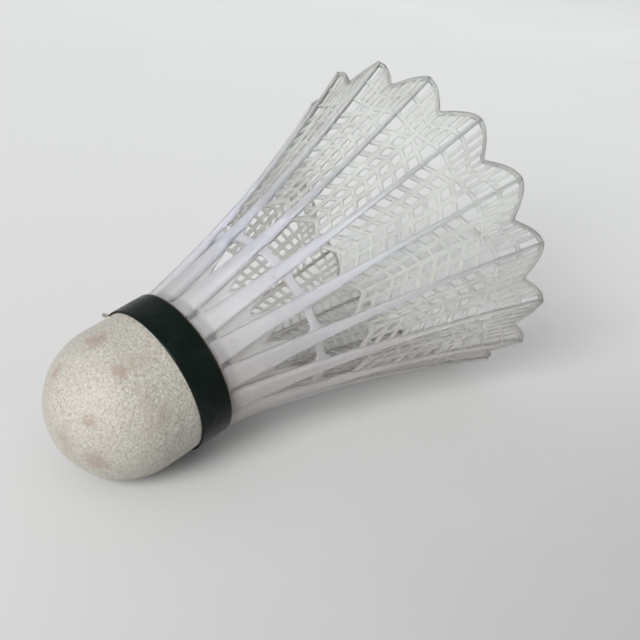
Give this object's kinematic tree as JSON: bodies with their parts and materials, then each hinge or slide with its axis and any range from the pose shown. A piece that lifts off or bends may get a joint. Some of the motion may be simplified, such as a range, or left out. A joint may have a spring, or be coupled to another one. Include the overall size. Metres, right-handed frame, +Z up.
{
  "type": "shuttlecock",
  "caption": "Moulded nylon badminton shuttlecock: a leather-covered cork nose, a tape band, and a flared lattice skirt with a scalloped rim, lying on its side.",
  "frame": {"origin": "under the middle of the part, on the surface that it lies on", "axes": "+Z up; +X from the nose toward the mouth, along the floor under the part's own axis; the part lies on the ball of its nose and two neighbouring tips of its rim"},
  "size_m": [0.0896, 0.064, 0.0619],
  "materials": {
    "cork": "fine granular cork, matt",
    "leather": "cream, wrinkled and lightly scuffed, matt",
    "tape": "very dark green tape with a soft sheen",
    "nylon": "translucent milky white nylon, satin"
  },
  "bodies": {
    "root": {"cork_core": "cork", "leather_skin": "leather", "tape_band": "tape", "nylon_skirt": "nylon"}
  },
  "joints": []
}
